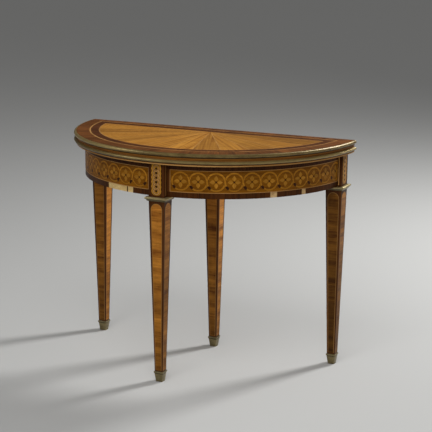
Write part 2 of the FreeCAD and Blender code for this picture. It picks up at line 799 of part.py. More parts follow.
def hinges():
    pins = []
    for side, x in hinge_places():
        hinge_plate(f"{side}_hinge_lower_plate", x, (0, 2), "pin_radius",
                    ("lower_top - plate_thick", "lower_top"), lower_hinge_screws)
        hinge_plate(f"{side}_hinge_upper_plate", x, (1,), "pin_radius + pin_clearance",
                    ("upper_bottom", "upper_bottom + plate_thick"), upper_hinge_screws)
        pins.append(lying_drum(f"{side}_hinge_pin", "pin_radius", about(x, "plate_length / 2"),
                               "hinge_axis_offset", "seam"))
    keep("hinge_pins", group("hinge_pins", *pins))


hinges()

# Build, check and write the sub-parts

doc.recompute()
failed = [thing.Name for thing in doc.Objects if {"Invalid", "Error"} & set(thing.State)]
for node, thing in pieces.items():
    if thing.Shape.isNull() or not thing.Shape.isValid() or not thing.Shape.Solids:
        failed.append(node)
if failed:
    raise SystemExit(f"these did not build: {failed}")

os.makedirs("parts", exist_ok=True)
for node, thing in pieces.items():
    thing.Shape.exportStep(f"parts/{node}.step")
print(len(pieces), "sub-parts")
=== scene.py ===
"""Looks of a half-round fold-over table: veneers, inlays, brass mounts, cloth, light and camera.

Every length is in metres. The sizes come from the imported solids; what the solids don't hold,
such as the width of an inlaid line, is named in the section of the piece that has it.
"""

import json
import math
import random

import bmesh
import bpy
from mathutils import Matrix, Vector


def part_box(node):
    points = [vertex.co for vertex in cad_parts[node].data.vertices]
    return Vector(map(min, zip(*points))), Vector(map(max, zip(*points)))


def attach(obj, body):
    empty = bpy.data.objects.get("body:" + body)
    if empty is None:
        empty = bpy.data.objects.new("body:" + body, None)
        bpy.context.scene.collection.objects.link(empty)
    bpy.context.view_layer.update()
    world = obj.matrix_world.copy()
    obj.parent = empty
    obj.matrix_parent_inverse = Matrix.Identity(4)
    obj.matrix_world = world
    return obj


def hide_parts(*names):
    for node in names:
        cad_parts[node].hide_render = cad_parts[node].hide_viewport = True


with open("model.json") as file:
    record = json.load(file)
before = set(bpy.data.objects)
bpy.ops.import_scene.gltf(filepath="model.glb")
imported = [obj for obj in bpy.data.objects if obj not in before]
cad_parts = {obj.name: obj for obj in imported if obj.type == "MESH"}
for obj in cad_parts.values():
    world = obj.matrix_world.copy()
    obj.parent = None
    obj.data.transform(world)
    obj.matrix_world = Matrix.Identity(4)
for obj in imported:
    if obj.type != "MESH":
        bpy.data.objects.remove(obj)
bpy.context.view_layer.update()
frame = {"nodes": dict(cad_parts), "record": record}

MM = 0.001
draw = random.Random(11)


# Sizes read from the solids

def low(node):
    """The lowest corner of a solid."""
    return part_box(node)[0]


def high(node):
    """The highest corner of a solid."""
    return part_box(node)[1]


def plan_centre(node):
    """The middle of a solid seen from above."""
    return (low(node) + high(node)).to_2d() / 2


def half_width(node):
    """Half the width of a solid from left to right."""
    return (high(node).x - low(node).x) / 2


BACK_Y = high("upper_leaf").y
WOOD_RADIUS = high("upper_leaf").x
BEAD_RADIUS = high("upper_bead").x
APRON_RADIUS = math.hypot(low("right_frieze").x, BACK_Y - low("right_frieze").y)
CORE_RADIUS = math.hypot(low("right_apron").x, BACK_Y - low("right_apron").y)
TOP_Z = high("fan_field").z
VENEER_Z = low("fan_field").z

LEG_HALF = half_width("front_leg")
TAPER_TOP = low("front_collar").z
COLLAR_TOP = high("front_collar").z
SABOT_TOP = high("front_sabot").z

LEGS = {
    "left": ("frame", Vector((-1, 0))),
    "front": ("frame", Vector((0, -1))),
    "right": ("frame", Vector((1, 0))),
    "rear": ("pull_out_leg", Vector((0, 1))),
}
SIDES = {"left": -1, "right": 1}


# Colours, written as they look on a screen

DISPLAY_FULL = 255
DISPLAY_OFFSET = 0.055
DISPLAY_POWER = 2.4


def paint(red, green, blue):
    """A display colour of 0 to 255 as the linear colour that a shader takes."""
    display = [value / DISPLAY_FULL for value in (red, green, blue)]
    linear = [((share + DISPLAY_OFFSET) / (1 + DISPLAY_OFFSET)) ** DISPLAY_POWER for share in display]
    return (*linear, 1.0)


# Material nodes

def start_material(name):
    """A new material with its node tree and its shader."""
    material = bpy.data.materials.new(name)
    material.use_nodes = True
    tree = material.node_tree
    return material, tree, tree.nodes["Principled BSDF"]


def feed(tree, socket, value):
    """A socket takes a value or another node's output."""
    if isinstance(value, bpy.types.NodeSocket):
        tree.links.new(value, socket)
    else:
        socket.default_value = value


def add_node(tree, kind, settings=None, **sockets):
    """A node with its settings and what its sockets take."""
    node = tree.nodes.new(kind)
    for key, value in (settings or {}).items():
        setattr(node, key, value)
    for key, value in sockets.items():
        feed(tree, node.inputs[key], value)
    return node


def arithmetic(tree, operation, first, second):
    """The output of a Math node."""
    node = tree.nodes.new("ShaderNodeMath")
    node.operation = operation
    feed(tree, node.inputs[0], first)
    feed(tree, node.inputs[1], second)
    return node.outputs[0]


def mixture(tree, first, first_share, second, second_share):
    """The sum of two values, each times its share."""
    return arithmetic(tree, "ADD", arithmetic(tree, "MULTIPLY", first, first_share),
                      arithmetic(tree, "MULTIPLY", second, second_share))


def noise(tree, place, stretch, detail=3.0, roughness=0.55):
    """Noise stretched by a scale for each axis, as a value of 0 to 1."""
    mapping = add_node(tree, "ShaderNodeMapping", Vector=place, Scale=stretch)
    made = add_node(tree, "ShaderNodeTexNoise", Vector=mapping.outputs[0],
                    Scale=1.0, Detail=detail, Roughness=roughness)
    return made.outputs["Fac"]


def ranged(tree, value, *limits):
    """A value carried from one range to another and held inside it; limits are the ends of both."""
    node = add_node(tree, "ShaderNodeMapRange", Value=value)
    for key, limit in zip(("From Min", "From Max", "To Min", "To Max"), limits):
        node.inputs[key].default_value = limit
    return node.outputs["Result"]


def ramp(tree, value, places, colours):
    """A colour ramp of two or more colours, each at its place."""
    node = add_node(tree, "ShaderNodeValToRGB", Fac=value)
    elements = node.color_ramp.elements
    for place in places[1:-1]:
        elements.new(place)
    for element, place, colour in zip(elements, places, colours):
        element.position = place
        element.color = colour
    return node.outputs["Color"]


def bump(tree, shader, height, distance, strength):
    """Fine relief on a shader."""
    node = add_node(tree, "ShaderNodeBump", Height=height, Distance=distance, Strength=strength)
    tree.links.new(node.outputs["Normal"], shader.inputs["Normal"])


def solid_place(tree):
    """The place in the solid."""
    return add_node(tree, "ShaderNodeTexCoord").outputs["Object"]


def veneer_place(tree):
    """Grain coordinates of a veneer."""
    return add_node(tree, "ShaderNodeUVMap", {"uv_map": "grain"}).outputs[0]


def face_tone(tree):
    """The tone of a mesh's face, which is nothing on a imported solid."""
    return add_node(tree, "ShaderNodeAttribute", {"attribute_name": "tone"}).outputs["Fac"]


# Wood

BROAD_SHARE = 0.62
FINE_RUN_RATE = 3
FINE_STRIPE_RATE = 7
WAVE_STRIPE_RATE = 1.3
WAVE_RUN_RATE = 6
PORE_RATES = (70.0, 1900.0)
PORE_LIMITS = (0.56, 0.74)
FIGURE_STOPS = (0.34, 0.5, 0.67)
AGE_RATES = (9.0, 9.0, 9.0)
AGE_LIMITS = (0.3, 0.7)
AGE_SHADES = (0.88, 1.08)
DULLED_POLISH = 0.1
RUBBED_POLISH = -0.04
WOOD_SPECULAR = 0.1
GRAIN_RELIEF = 0.2 * MM
GRAIN_STRENGTH = 0.12


def wood(name, dark, light, axis=None, stripe=60.0, run=2.5, ripple=0.0, pores=0.3, polish=0.36):
    """Polished wood with grain along the veneer's first coordinate, or along a solid's axis.

    stripe is how many colour stripes there are in a metre across the grain, run how often they
    change along it, ripple the cross figure, pores their depth of colour, polish the roughness.
    """
    material, tree, shader = start_material(name)
    place = veneer_place(tree) if axis is None else solid_place(tree)
    grain_axis = axis or 0

    def stretched(along_rate, across_rate):
        rates = [across_rate] * 3
        rates[grain_axis] = along_rate
        return tuple(rates)

    broad = noise(tree, place, stretched(run, stripe))
    fine_rates = stretched(run * FINE_RUN_RATE, stripe * FINE_STRIPE_RATE)
    fine = noise(tree, place, fine_rates, detail=5.0, roughness=0.65)
    wave = noise(tree, place, stretched(stripe * WAVE_STRIPE_RATE, run * WAVE_RUN_RATE), detail=2.0)
    pore = noise(tree, place, stretched(*PORE_RATES), detail=2.0)
    figure = mixture(tree, broad, BROAD_SHARE, fine, 1 - BROAD_SHARE)
    ripples = arithmetic(tree, "MULTIPLY", arithmetic(tree, "SUBTRACT", wave, 0.5), ripple)
    figure = arithmetic(tree, "ADD", figure, ripples)
    middle = tuple((first + second) / 2 for first, second in zip(dark, light))
    colour = ramp(tree, figure, FIGURE_STOPS, (dark, middle, light))
    specks = ranged(tree, pore, *PORE_LIMITS, 1.0, 1.0 - pores)
    brightness = arithmetic(tree, "MULTIPLY", specks, arithmetic(tree, "ADD", face_tone(tree), 1.0))
    age = noise(tree, solid_place(tree), AGE_RATES, detail=4.0)
    brightness = arithmetic(tree, "MULTIPLY", brightness, ranged(tree, age, *AGE_LIMITS, *AGE_SHADES))
    shaded = add_node(tree, "ShaderNodeHueSaturation", Value=brightness, Color=colour)
    tree.links.new(shaded.outputs["Color"], shader.inputs["Base Color"])
    roughness = ranged(tree, age, *AGE_LIMITS, polish + DULLED_POLISH, polish + RUBBED_POLISH)
    tree.links.new(roughness, shader.inputs["Roughness"])
    shader.inputs["Specular IOR Level"].default_value = WOOD_SPECULAR
    bump(tree, shader, arithmetic(tree, "MULTIPLY", specks, figure), GRAIN_RELIEF, GRAIN_STRENGTH)
    return material


# Brass

PATCH_RATES = (34.0, 34.0, 60.0)
SPOT_RATES = (420.0, 420.0, 420.0)
SCRATCH_RATES = (160.0, 160.0, 900.0)
PATCH_SHARE = 0.45
SPOT_SHARE = 0.25
BRASS_STOPS = (0.15, 0.37, 0.65)
DULL_SHARE = 0.55
BRASS_METALLIC = (0.55, 0.7)
BRASS_ROUGHNESS = (0.48, 0.4)
BRASS_SPECULAR = 0.15
LACQUER_WEIGHT = 0.4
LACQUER_ROUGHNESS = 0.3
TARNISH_RELIEF = 0.15 * MM
TARNISH_STRENGTH = 0.1


def aged_brass(name, dull, bright):
    """Lacquered brass that is tarnished where its tone is low and worn bright where its tone is high; on the
    beads and collars the tone also holds painted highlights, reflections and shade.
    """
    material, tree, shader = start_material(name)
    place = solid_place(tree)
    patches = noise(tree, place, PATCH_RATES, detail=5.0, roughness=0.6)
    spots = noise(tree, place, SPOT_RATES)
    scratches = noise(tree, place, SCRATCH_RATES, detail=2.0)
    wear_and_painted_light = mixture(tree, patches, PATCH_SHARE, spots, SPOT_SHARE)
    # the face tone adds painted highlights, reflections and shade on the beads and collars
    wear_and_painted_light = arithmetic(tree, "ADD", wear_and_painted_light, face_tone(tree))
    middle = tuple(DULL_SHARE * first + (1 - DULL_SHARE) * second for first, second in zip(dull, bright))
    colour = ramp(tree, wear_and_painted_light, BRASS_STOPS, (dull, middle, bright))
    tree.links.new(colour, shader.inputs["Base Color"])
    limits = (BRASS_STOPS[0], BRASS_STOPS[-1])
    tree.links.new(ranged(tree, wear_and_painted_light, *limits, *BRASS_METALLIC), shader.inputs["Metallic"])
    tree.links.new(ranged(tree, wear_and_painted_light, *limits, *BRASS_ROUGHNESS), shader.inputs["Roughness"])
    shader.inputs["Specular IOR Level"].default_value = BRASS_SPECULAR
    shader.inputs["Coat Weight"].default_value = LACQUER_WEIGHT
    shader.inputs["Coat Roughness"].default_value = LACQUER_ROUGHNESS
    bump(tree, shader, arithmetic(tree, "ADD", spots, scratches), TARNISH_RELIEF, TARNISH_STRENGTH)
    return material


# Cloth

FIBRE_RATES = (1400.0, 1400.0, 1400.0)
FIBRE_SHARE = 0.6
WEAR_RATES = (7.0, 7.0, 7.0)
CLOTH_STOPS = (0.35, 0.66)
CLOTH_ROUGHNESS = 0.95
NAP_SHEEN = 0.25
NAP_SHEEN_ROUGHNESS = 0.5
NAP_RELIEF = 0.4 * MM
NAP_STRENGTH = 0.5


def felted_cloth(name, shadow, light):
    """Wool cloth with a short nap and fibres lying every way."""
    material, tree, shader = start_material(name)
    place = solid_place(tree)
    fibres = noise(tree, place, FIBRE_RATES, roughness=0.7)
    wear = noise(tree, place, WEAR_RATES, detail=4.0)
    value = mixture(tree, fibres, FIBRE_SHARE, wear, 1 - FIBRE_SHARE)
    colour = ramp(tree, value, CLOTH_STOPS, (shadow, light))
    tree.links.new(colour, shader.inputs["Base Color"])
    shader.inputs["Roughness"].default_value = CLOTH_ROUGHNESS
    shader.inputs["Sheen Weight"].default_value = NAP_SHEEN
    shader.inputs["Sheen Roughness"].default_value = NAP_SHEEN_ROUGHNESS
    bump(tree, shader, fibres, NAP_RELIEF, NAP_STRENGTH)
    return material


# Steel

MARK_RATES = (700.0, 700.0, 300.0)
MARK_LIMITS = (0.3, 0.7)
STEEL_STOPS = (0.35, 0.7)
STEEL_ROUGHNESS = (0.5, 0.3)
MARK_RELIEF = 0.1 * MM
MARK_STRENGTH = 0.2


def turned_steel(name, dull, bright):
    """Plain steel of old screws and pins."""
    material, tree, shader = start_material(name)
    marks = noise(tree, solid_place(tree), MARK_RATES, detail=4.0)
    colour = ramp(tree, marks, STEEL_STOPS, (dull, bright))
    tree.links.new(colour, shader.inputs["Base Color"])
    shader.inputs["Metallic"].default_value = 1.0
    tree.links.new(ranged(tree, marks, *MARK_LIMITS, *STEEL_ROUGHNESS), shader.inputs["Roughness"])
    bump(tree, shader, marks, MARK_RELIEF, MARK_STRENGTH)
    return material


# The woods, metals and cloth of the table

def bare_oak(name, dark, light, axis):
    """Unpolished oak with its grain along an axis."""
    return wood(name, dark, light, axis, stripe=80.0, pores=0.4, polish=0.62)


SATINWOOD = wood("satinwood", paint(128, 76, 20), paint(198, 140, 56), stripe=110.0, ripple=0.25,
                 pores=0.16, polish=0.38)
KINGWOOD = wood("kingwood_crossbanding", paint(62, 30, 8), paint(138, 84, 37), stripe=130.0, polish=0.38)
AMARANTH = wood("amaranth_crossbanding", paint(58, 27, 10), paint(106, 60, 26), stripe=120.0, polish=0.38)
BOXWOOD = wood("boxwood_stringing", paint(148, 102, 50), paint(198, 150, 88), stripe=150.0,
               pores=0.15, polish=0.38)
FRIEZE_GROUND = wood("frieze_ground", paint(94, 50, 0), paint(154, 97, 12), stripe=90.0,
                     pores=0.25, polish=0.4)
GUILLOCHE_WOOD = wood("guilloche_wood", paint(142, 89, 12), paint(188, 127, 34), stripe=140.0,
                      pores=0.15, polish=0.4)
FLORET_WOOD = wood("floret_wood", paint(142, 93, 18), paint(184, 128, 42), stripe=150.0,
                   pores=0.15, polish=0.4)
STRIP_WOOD = wood("strip_wood", paint(164, 110, 22), paint(214, 156, 52), stripe=120.0,
                  pores=0.15, polish=0.4)
SHADED_WOOD = wood("shaded_wood", paint(44, 23, 9), paint(74, 42, 18), stripe=160.0, pores=0.2)
TULIPWOOD = wood("tulipwood_panel", paint(88, 44, 8), paint(184, 122, 44), stripe=44.0, run=4.5,
                 ripple=0.15, pores=0.2, polish=0.38)
LEG_BORDER = wood("leg_border", paint(56, 28, 8), paint(96, 55, 22), stripe=140.0, pores=0.25)
EDGE_WOOD = wood("edge_wood", paint(108, 64, 20), paint(170, 112, 44), stripe=260.0, run=5.0)
LEAF_WOOD = wood("leaf_wood", paint(78, 42, 18), paint(122, 74, 38), axis=0, stripe=50.0)
BANDING_WOOD = wood("apron_banding", paint(46, 22, 4), paint(88, 48, 14), axis=2, stripe=150.0)
RAIL_WOOD = wood("rail_wood", paint(84, 50, 26), paint(128, 84, 48), axis=0, stripe=70.0, polish=0.46)
OAK_ALONG_X = bare_oak("oak_along_x", paint(172, 134, 86), paint(224, 188, 134), 0)
OAK_ALONG_Y = bare_oak("oak_along_y", paint(172, 134, 86), paint(224, 188, 134), 1)
PALE_OAK = bare_oak("pale_oak", paint(198, 162, 102), paint(246, 216, 152), 0)
BRASS = aged_brass("aged_brass", paint(63, 50, 23), paint(188, 171, 121))
BEAD_BRASS = aged_brass("tarnished_brass", paint(64, 41, 9), paint(188, 164, 104))
BAIZE = felted_cloth("green_baize", paint(30, 62, 40), paint(58, 98, 62))
STEEL = turned_steel("old_steel", paint(70, 66, 62), paint(140, 136, 130))


# Meshes in the making

class Veneers:
    """Points and faces, with grain coordinates for each corner and a tone for each face."""

    def __init__(self):
        self.points = []
        self.faces = []
        self.grain = []
        self.tones = []

    def face(self, corners, grain, tone):
        self.faces.append(tuple(corners))
        self.grain.append(grain)
        self.tones.append(tone)


def lengthwise(along, across):
    """Grain along the first flat coordinate."""
    return along, across


def crosswise(along, across):
    """Grain along the second flat coordinate."""
    return across, along


LOG_REACH = 30.0


def shifted(grain):
    """The same grain cut from another place in the log."""
    along_shift = draw.uniform(0.0, LOG_REACH)
    across_shift = draw.uniform(0.0, LOG_REACH)

    def moved(first, second):
        along, across = grain(first, second)
        return along + along_shift, across + across_shift

    return moved


def own_tone(spread):
    """A tone of its own for one veneer."""
    return draw.uniform(-spread, spread)


def ribbon(mesh, first, second, bottom, top, place, grain, tone=0.0, closed=False):
    """A thin solid between two lines of flat points, from a bottom to a top depth.

    tone is one value, or a list with one value for each point of a line.
    """
    start = len(mesh.points)
    count = len(first)
    tones = tone if isinstance(tone, list) else [tone] * count
    flats = []
    for one, other in zip(first, second):
        for flat, depth in ((one, bottom), (other, bottom), (other, top), (one, top)):
            mesh.points.append(place(*flat, depth))
            flats.append(grain(*flat))
    faces = []
    for step in range(count if closed else count - 1):
        here = 4 * step
        there = 4 * ((step + 1) % count)
        for side in range(4):
            after = (side + 1) % 4
            faces.append((step, (here + side, here + after, there + after, there + side)))
    if not closed:
        faces += [(step, range(4 * step, 4 * step + 4)) for step in (0, count - 1)]
    for step, corners in faces:
        mesh.face([start + corner for corner in corners], [flats[corner] for corner in corners], tones[step])


def tile(mesh, outline, bottom, top, place, grain, tone=0.0):
    """A thin solid with a flat outline."""
    start = len(mesh.points)
    count = len(outline)
    flats = [grain(*flat) for flat in outline]
    for depth in (bottom, top):
        mesh.points.extend(place(*flat, depth) for flat in outline)
    for layer in (0, count):
        mesh.face([start + layer + step for step in range(count)], flats, tone)
    for step in range(count):
        after = (step + 1) % count
        corners = [start + step, start + after, start + count + after, start + count + step]
        mesh.face(corners, [flats[step], flats[after], flats[after], flats[step]], tone)


def travelled(points):
    """The way gone at each point of a loop, and at its end."""
    distances = [0.0]
    for point, following in zip(points, points[1:] + points[:1]):
        distances.append(distances[-1] + (following - point).length)
    return distances


def loft(mesh, rings, tones, closed_profile):
    """A solid through rings of points; it ends in caps or closes on its first ring."""
    start = len(mesh.points)
    count = len(rings[0])
    heights = travelled([ring[0] for ring in rings])
    girth = travelled(rings[0])
    for ring in rings:
        mesh.points.extend(ring)
    for level in range(len(rings) if closed_profile else len(rings) - 1):
        below = start + count * level
        above = start + count * ((level + 1) % len(rings))
        for step in range(count):
            after = (step + 1) % count
            grain = [(heights[level], girth[step]), (heights[level], girth[step + 1]),
                     (heights[level + 1], girth[step + 1]), (heights[level + 1], girth[step])]
            mesh.face((below + step, below + after, above + after, above + step), grain, tones[level])
    if not closed_profile:
        for level in (0, len(rings) - 1):
            corners = [start + count * level + step for step in range(count)]
            grain = [(point.x, point.y) for point in rings[level]]
            mesh.face(corners, grain, tones[min(level, len(tones) - 1)])


def add_object(name, data):
    """A new object in the scene."""
    made = bpy.data.objects.new(name, data)
    bpy.context.scene.collection.objects.link(made)
    return made


SHARP_ANGLE = math.radians(32)


def add_piece(name, mesh, material, slot, body, *replaced):
    """The finished object of a mesh, with its finish, the body it rides on and what it stands for."""
    data = bpy.data.meshes.new(name)
    data.from_pydata(mesh.points, [], mesh.faces)
    grain = data.uv_layers.new(name="grain")
    grain.data.foreach_set("uv", [value for face in mesh.grain for corner in face for value in corner])
    data.attributes.new("tone", "FLOAT", "FACE").data.foreach_set("value", mesh.tones)
    work = bmesh.new()
    work.from_mesh(data)
    bmesh.ops.recalc_face_normals(work, faces=work.faces)
    work.to_mesh(data)
    work.free()
    data.shade_smooth()
    data.set_sharp_from_angle(angle=SHARP_ANGLE)
    data.materials.append(material)
    piece = add_object(name, data)
    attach(piece, body)
    if replaced:
        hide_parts(*replaced)
    return piece


# Round outlines

FULL_TURN = 2 * math.pi


def polar(centre, radius, angle):
    """A flat point at a radius and an angle from a centre."""
    return centre[0] + radius * math.cos(angle), centre[1] + radius * math.sin(angle)


def circle(centre, radius, steps):
    """Points of a flat circle."""
    return [polar(centre, radius, FULL_TURN * step / steps) for step in range(steps)]


def half_round(node):
    """Radius of a half-round solid and the distance of its straight side from the back edge."""
    return BACK_Y - low(node).y, BACK_Y - high(node).y


def arc_point(shape, share):
    """A point on the round side, from the right back corner at share 0 to the left one at 1."""
    radius, inset = shape
    corner = math.asin(inset / radius)
    angle = -corner - share * (math.pi - 2 * corner)
    return polar((0.0, BACK_Y), radius, angle)


def back_point(shape, share):
    """A point on the straight side, from the left back corner at share 0 to the right one at 1."""
    radius, inset = shape
    half = math.sqrt(radius ** 2 - inset ** 2)
    return half * (2 * share - 1), BACK_Y - inset


def level_place(x, y, z):
    """Flat coordinates of the top, with heights as depths."""
    return Vector((x, y, z))


def radial_grain(x, y):
    """Grain towards the middle of the back edge, for crossbanding on the round side."""
    radius = math.hypot(x, y - BACK_Y)
    angle = math.atan2(y - BACK_Y, x)
    return radius, angle * WOOD_RADIUS


def round_grain(x, y):
    """Grain along the round side."""
    radius, along = radial_grain(x, y)
    return along, radius


def shares(first, last, steps):
    """Evenly spaced shares from first to last."""
    return [first + (last - first) * step / steps for step in range(steps + 1)]


# Marquetry of the folding leaf

ARC_VENEERS = 26
BACK_VENEERS = 18
ARC_STEPS = 6
TONE_SPREAD = 0.16
FAN_WEDGES = 12
FAN_STEPS = 8
FAN_TONE = 0.08
# Painted light on the fan: a painted highlight in the middle and painted shade towards the right
FAN_PAINTED_SHADE = 0.24
FAN_PAINTED_HIGHLIGHT = 0.2
FAN_PAINTED_HIGHLIGHT_POWER = 3
FAN_LINE_HALF = 1.1 * MM
FAN_LINE_START = 26 * MM
FAN_LINE_TONE = 0.12
TOP_LINE_TONE = -0.12
INLAY_PROUD = 0.06 * MM
INLAY_DEPTH = 0.5 * MM


def band(name, node, inner_node, material, slot, crossbanded, tone=0.0):
    """A band or line between two half-round outlines, in short veneers with mitred corners."""
    mesh = Veneers()
    outer = half_round(node)
    inner = half_round(inner_node)
    arc_grain = radial_grain if crossbanded else round_grain
    back_grain = crosswise if crossbanded else lengthwise
    runs = ((arc_point, ARC_VENEERS, arc_grain), (back_point, BACK_VENEERS, back_grain))
    for point, count, grain in runs:
        for veneer in range(count):
            along = shares(veneer / count, (veneer + 1) / count, ARC_STEPS)
            ribbon(mesh, [point(outer, share) for share in along], [point(inner, share) for share in along],
                   VENEER_Z, TOP_Z, level_place, shifted(grain), tone + own_tone(TONE_SPREAD))
    add_piece(name, mesh, material, slot, "flap", node)


def fan_reach(angle, shape):
    """How far a ray from the fan's centre goes before it meets the round side."""
    radius, inset = shape
    rise = -inset * math.sin(angle)
    return -rise + math.sqrt(rise ** 2 + radius ** 2 - inset ** 2)


def fan():
    """Wedges of satinwood that spread from the middle of the back, with light lines between them.

    The wedges are lighter and darker by turns. A painted highlight lightens them in the middle, and painted
    shade darkens them towards the right.
    """
    shape = half_round("fan_field")
    centre = Vector((0.0, BACK_Y - shape[1]))
    wedges = Veneers()
    lines = Veneers()
    for wedge in range(FAN_WEDGES):
        first = math.pi * (1 + wedge / FAN_WEDGES)
        last = math.pi * (1 + (wedge + 1) / FAN_WEDGES)
        bisector = (first + last) / 2
        outline = [tuple(centre)]
        for angle in shares(first, last, FAN_STEPS):
            outline.append(polar(centre, fan_reach(angle, shape), angle))

        def ray_grain(x, y, bisector=bisector):
            away = Vector((x, y)) - centre
            return (away.x * math.cos(bisector) + away.y * math.sin(bisector),
                    away.y * math.cos(bisector) - away.x * math.sin(bisector))

        way = 2 * (wedge + 0.5) / FAN_WEDGES - 1
        # painted highlight in the middle of the fan, painted shade towards its right
        fan_painted_light = FAN_PAINTED_HIGHLIGHT * (1 - abs(way)) ** FAN_PAINTED_HIGHLIGHT_POWER - FAN_PAINTED_SHADE * max(0.0, way)
        tone = FAN_TONE * (-1) ** wedge + own_tone(FAN_TONE / 2) + fan_painted_light
        tile(wedges, outline, VENEER_Z, TOP_Z, level_place, shifted(ray_grain), tone)
        if wedge == 0:
            continue
        ray = Vector((math.cos(first), math.sin(first)))
        aside = Vector((-ray.y, ray.x)) * FAN_LINE_HALF
        ends = [centre + ray * FAN_LINE_START, centre + ray * fan_reach(first, shape)]
        ribbon(lines, [tuple(end + aside) for end in ends], [tuple(end - aside) for end in ends],
               VENEER_Z, TOP_Z + INLAY_PROUD, level_place, shifted(ray_grain), FAN_LINE_TONE)
    add_piece("fan_wedges", wedges, SATINWOOD, "fan_satinwood", "flap", "fan_field")
    add_piece("fan_lines", lines, BOXWOOD, "light_stringing", "flap")


def top_marquetry():
    """The fan and the bands and lines round it."""
    band("outer_crossbanding", "outer_banding", "outer_stringing", KINGWOOD, "dark_banding", True)
    band("outer_line", "outer_stringing", "inner_banding", BOXWOOD, "light_stringing", False,
         TOP_LINE_TONE)
    band("inner_crossbanding", "inner_banding", "inner_stringing", AMARANTH, "dark_banding", True)
    band("inner_line", "inner_stringing", "fan_field", BOXWOOD, "light_stringing", False, TOP_LINE_TONE)
    fan()


# Rims of the leaves

RIM_STEPS = 288
RIM_INNER = 3 * MM
RIM_PROUD = 0.9 * MM
RIM_LEAST = 1.0 * MM
RIM_GAP = 0.5 * MM
RIM_ROUND_STEPS = 10
RIM_FULLNESS = 0.5
LINE_HEIGHT = 4.4 * MM
LINE_TONE = 0.16
BEAD_TONGUE = 1.0 * MM
BEAD_STEPS = 20
BEAD_FILLET = 1.6 * MM
BEAD_QUIRK = 0.8 * MM
HOLLOW_TONE = -0.26
# Bead tones: wear, with a painted reflection that makes the lower bead lighter along the front
WEAR_AND_REFLECTION_TONES = {"upper": 0.02, "lower": 0.18}
# Towards the left, a painted highlight lightens the upper bead and painted shade darkens the lower bead
LEFT_PAINTED_LIGHT_TONES = {"upper": 0.28, "lower": 0.0}
LEFT_PAINTED_LIGHT_START = 20 * MM
LEFT_PAINTED_LIGHT_FULL = 200 * MM


def turned_round(profile):
    """Rings of a closed profile of (radius, height) carried round the front of the table."""
    rings = []
    for share in shares(-0.5, 0.5, RIM_STEPS):
        angle = math.pi * share
        rings.append([Vector((radius * math.sin(angle), BACK_Y - radius * math.cos(angle), height))
                      for radius, height in profile])
    return rings


def rim(mesh, bottom, top, tone=0.0):
    """A rounded wooden fillet on the edge of a leaf."""
    middle = (bottom + top) / 2
    half = (top - bottom) / 2
    profile = [(WOOD_RADIUS - RIM_INNER, bottom), (WOOD_RADIUS - RIM_INNER, top)]
    for share in shares(0.5, -0.5, RIM_ROUND_STEPS):
        swell = math.cos(math.pi * share) ** RIM_FULLNESS if abs(share) < 0.5 else 0.0
        profile.append((WOOD_RADIUS + RIM_PROUD * (2 * swell - 1),
                        middle + half * math.sin(math.pi * share)))
    loft(mesh, turned_round(profile), [tone] * RIM_STEPS, False)


def bead_wear_and_painted_light(leaf, x):
    """The tone of a bead at a distance to the right of the middle: its wear, a painted reflection that
    lightens the lower bead, and towards the left a painted highlight on the upper bead and painted shade on
    the lower bead.
    """
    leftness = (-x - LEFT_PAINTED_LIGHT_START) / (LEFT_PAINTED_LIGHT_FULL - LEFT_PAINTED_LIGHT_START)
    leftness = min(1.0, max(0.0, leftness))
    return WEAR_AND_REFLECTION_TONES[leaf] + (LEFT_PAINTED_LIGHT_TONES[leaf] - WEAR_AND_REFLECTION_TONES[leaf]) * leftness


def bead(leaf, body):
    """The brass moulding let into the edge of a leaf: a half round over a quirk and a fillet."""
    node = leaf + "_bead"
    bottom = low(node).z
    top = high(node).z
    lip = WOOD_RADIUS + BEAD_FILLET
    quirk = lip - BEAD_QUIRK
    round_foot = bottom + BEAD_FILLET
    middle = (round_foot + top) / 2
    half = (top - round_foot) / 2
    profile = [(WOOD_RADIUS - BEAD_TONGUE, bottom), (WOOD_RADIUS - BEAD_TONGUE, top)]
    for share in shares(0.5, -0.5, BEAD_STEPS):
        profile.append((quirk + (BEAD_RADIUS - quirk) * math.cos(math.pi * share),
                        middle + half * math.sin(math.pi * share)))
    profile += [(lip, round_foot), (lip, bottom)]
    mesh = Veneers()
    loft(mesh, turned_round(profile), [0.0] * RIM_STEPS, False)
    for number, corners in enumerate(mesh.faces):
        spot = sum((mesh.points[corner] for corner in corners), Vector()) / len(corners)
        # from its foot to the middle of the round, the tone rises to the bead's wear with its painted
        # reflection, highlight and shade
        rise = min(1.0, (spot.z - bottom) / (middle - bottom))
        mesh.tones[number] = HOLLOW_TONE + (bead_wear_and_painted_light(leaf, spot.x) - HOLLOW_TONE) * rise
    add_piece(node + "_moulding", mesh, BEAD_BRASS, "brass", body, node)


def leaf_rims():
    """Wooden fillets above and below each bead, the beads, and the light line under the fixed leaf."""
    leaves = (("upper", "flap", low("upper_leaf").z + RIM_GAP, TOP_Z),
              ("lower", "frame", low("lower_leaf").z + LINE_HEIGHT, high("lower_leaf").z))
    for name, body, bottom, top in leaves:
        mesh = Veneers()
        rim(mesh, bottom, low(name + "_bead").z)
        if top - high(name + "_bead").z > RIM_LEAST:
            rim(mesh, high(name + "_bead").z, top)
        add_piece(name + "_leaf_rims", mesh, EDGE_WOOD, "leaf_wood", body)
        bead(name, body)
    line = Veneers()
    bottom = low("lower_leaf").z
    rim(line, bottom - INLAY_PROUD, bottom + LINE_HEIGHT, LINE_TONE)
    add_piece("lower_leaf_line", line, BOXWOOD, "light_stringing", "frame")


# Marquetry of the apron

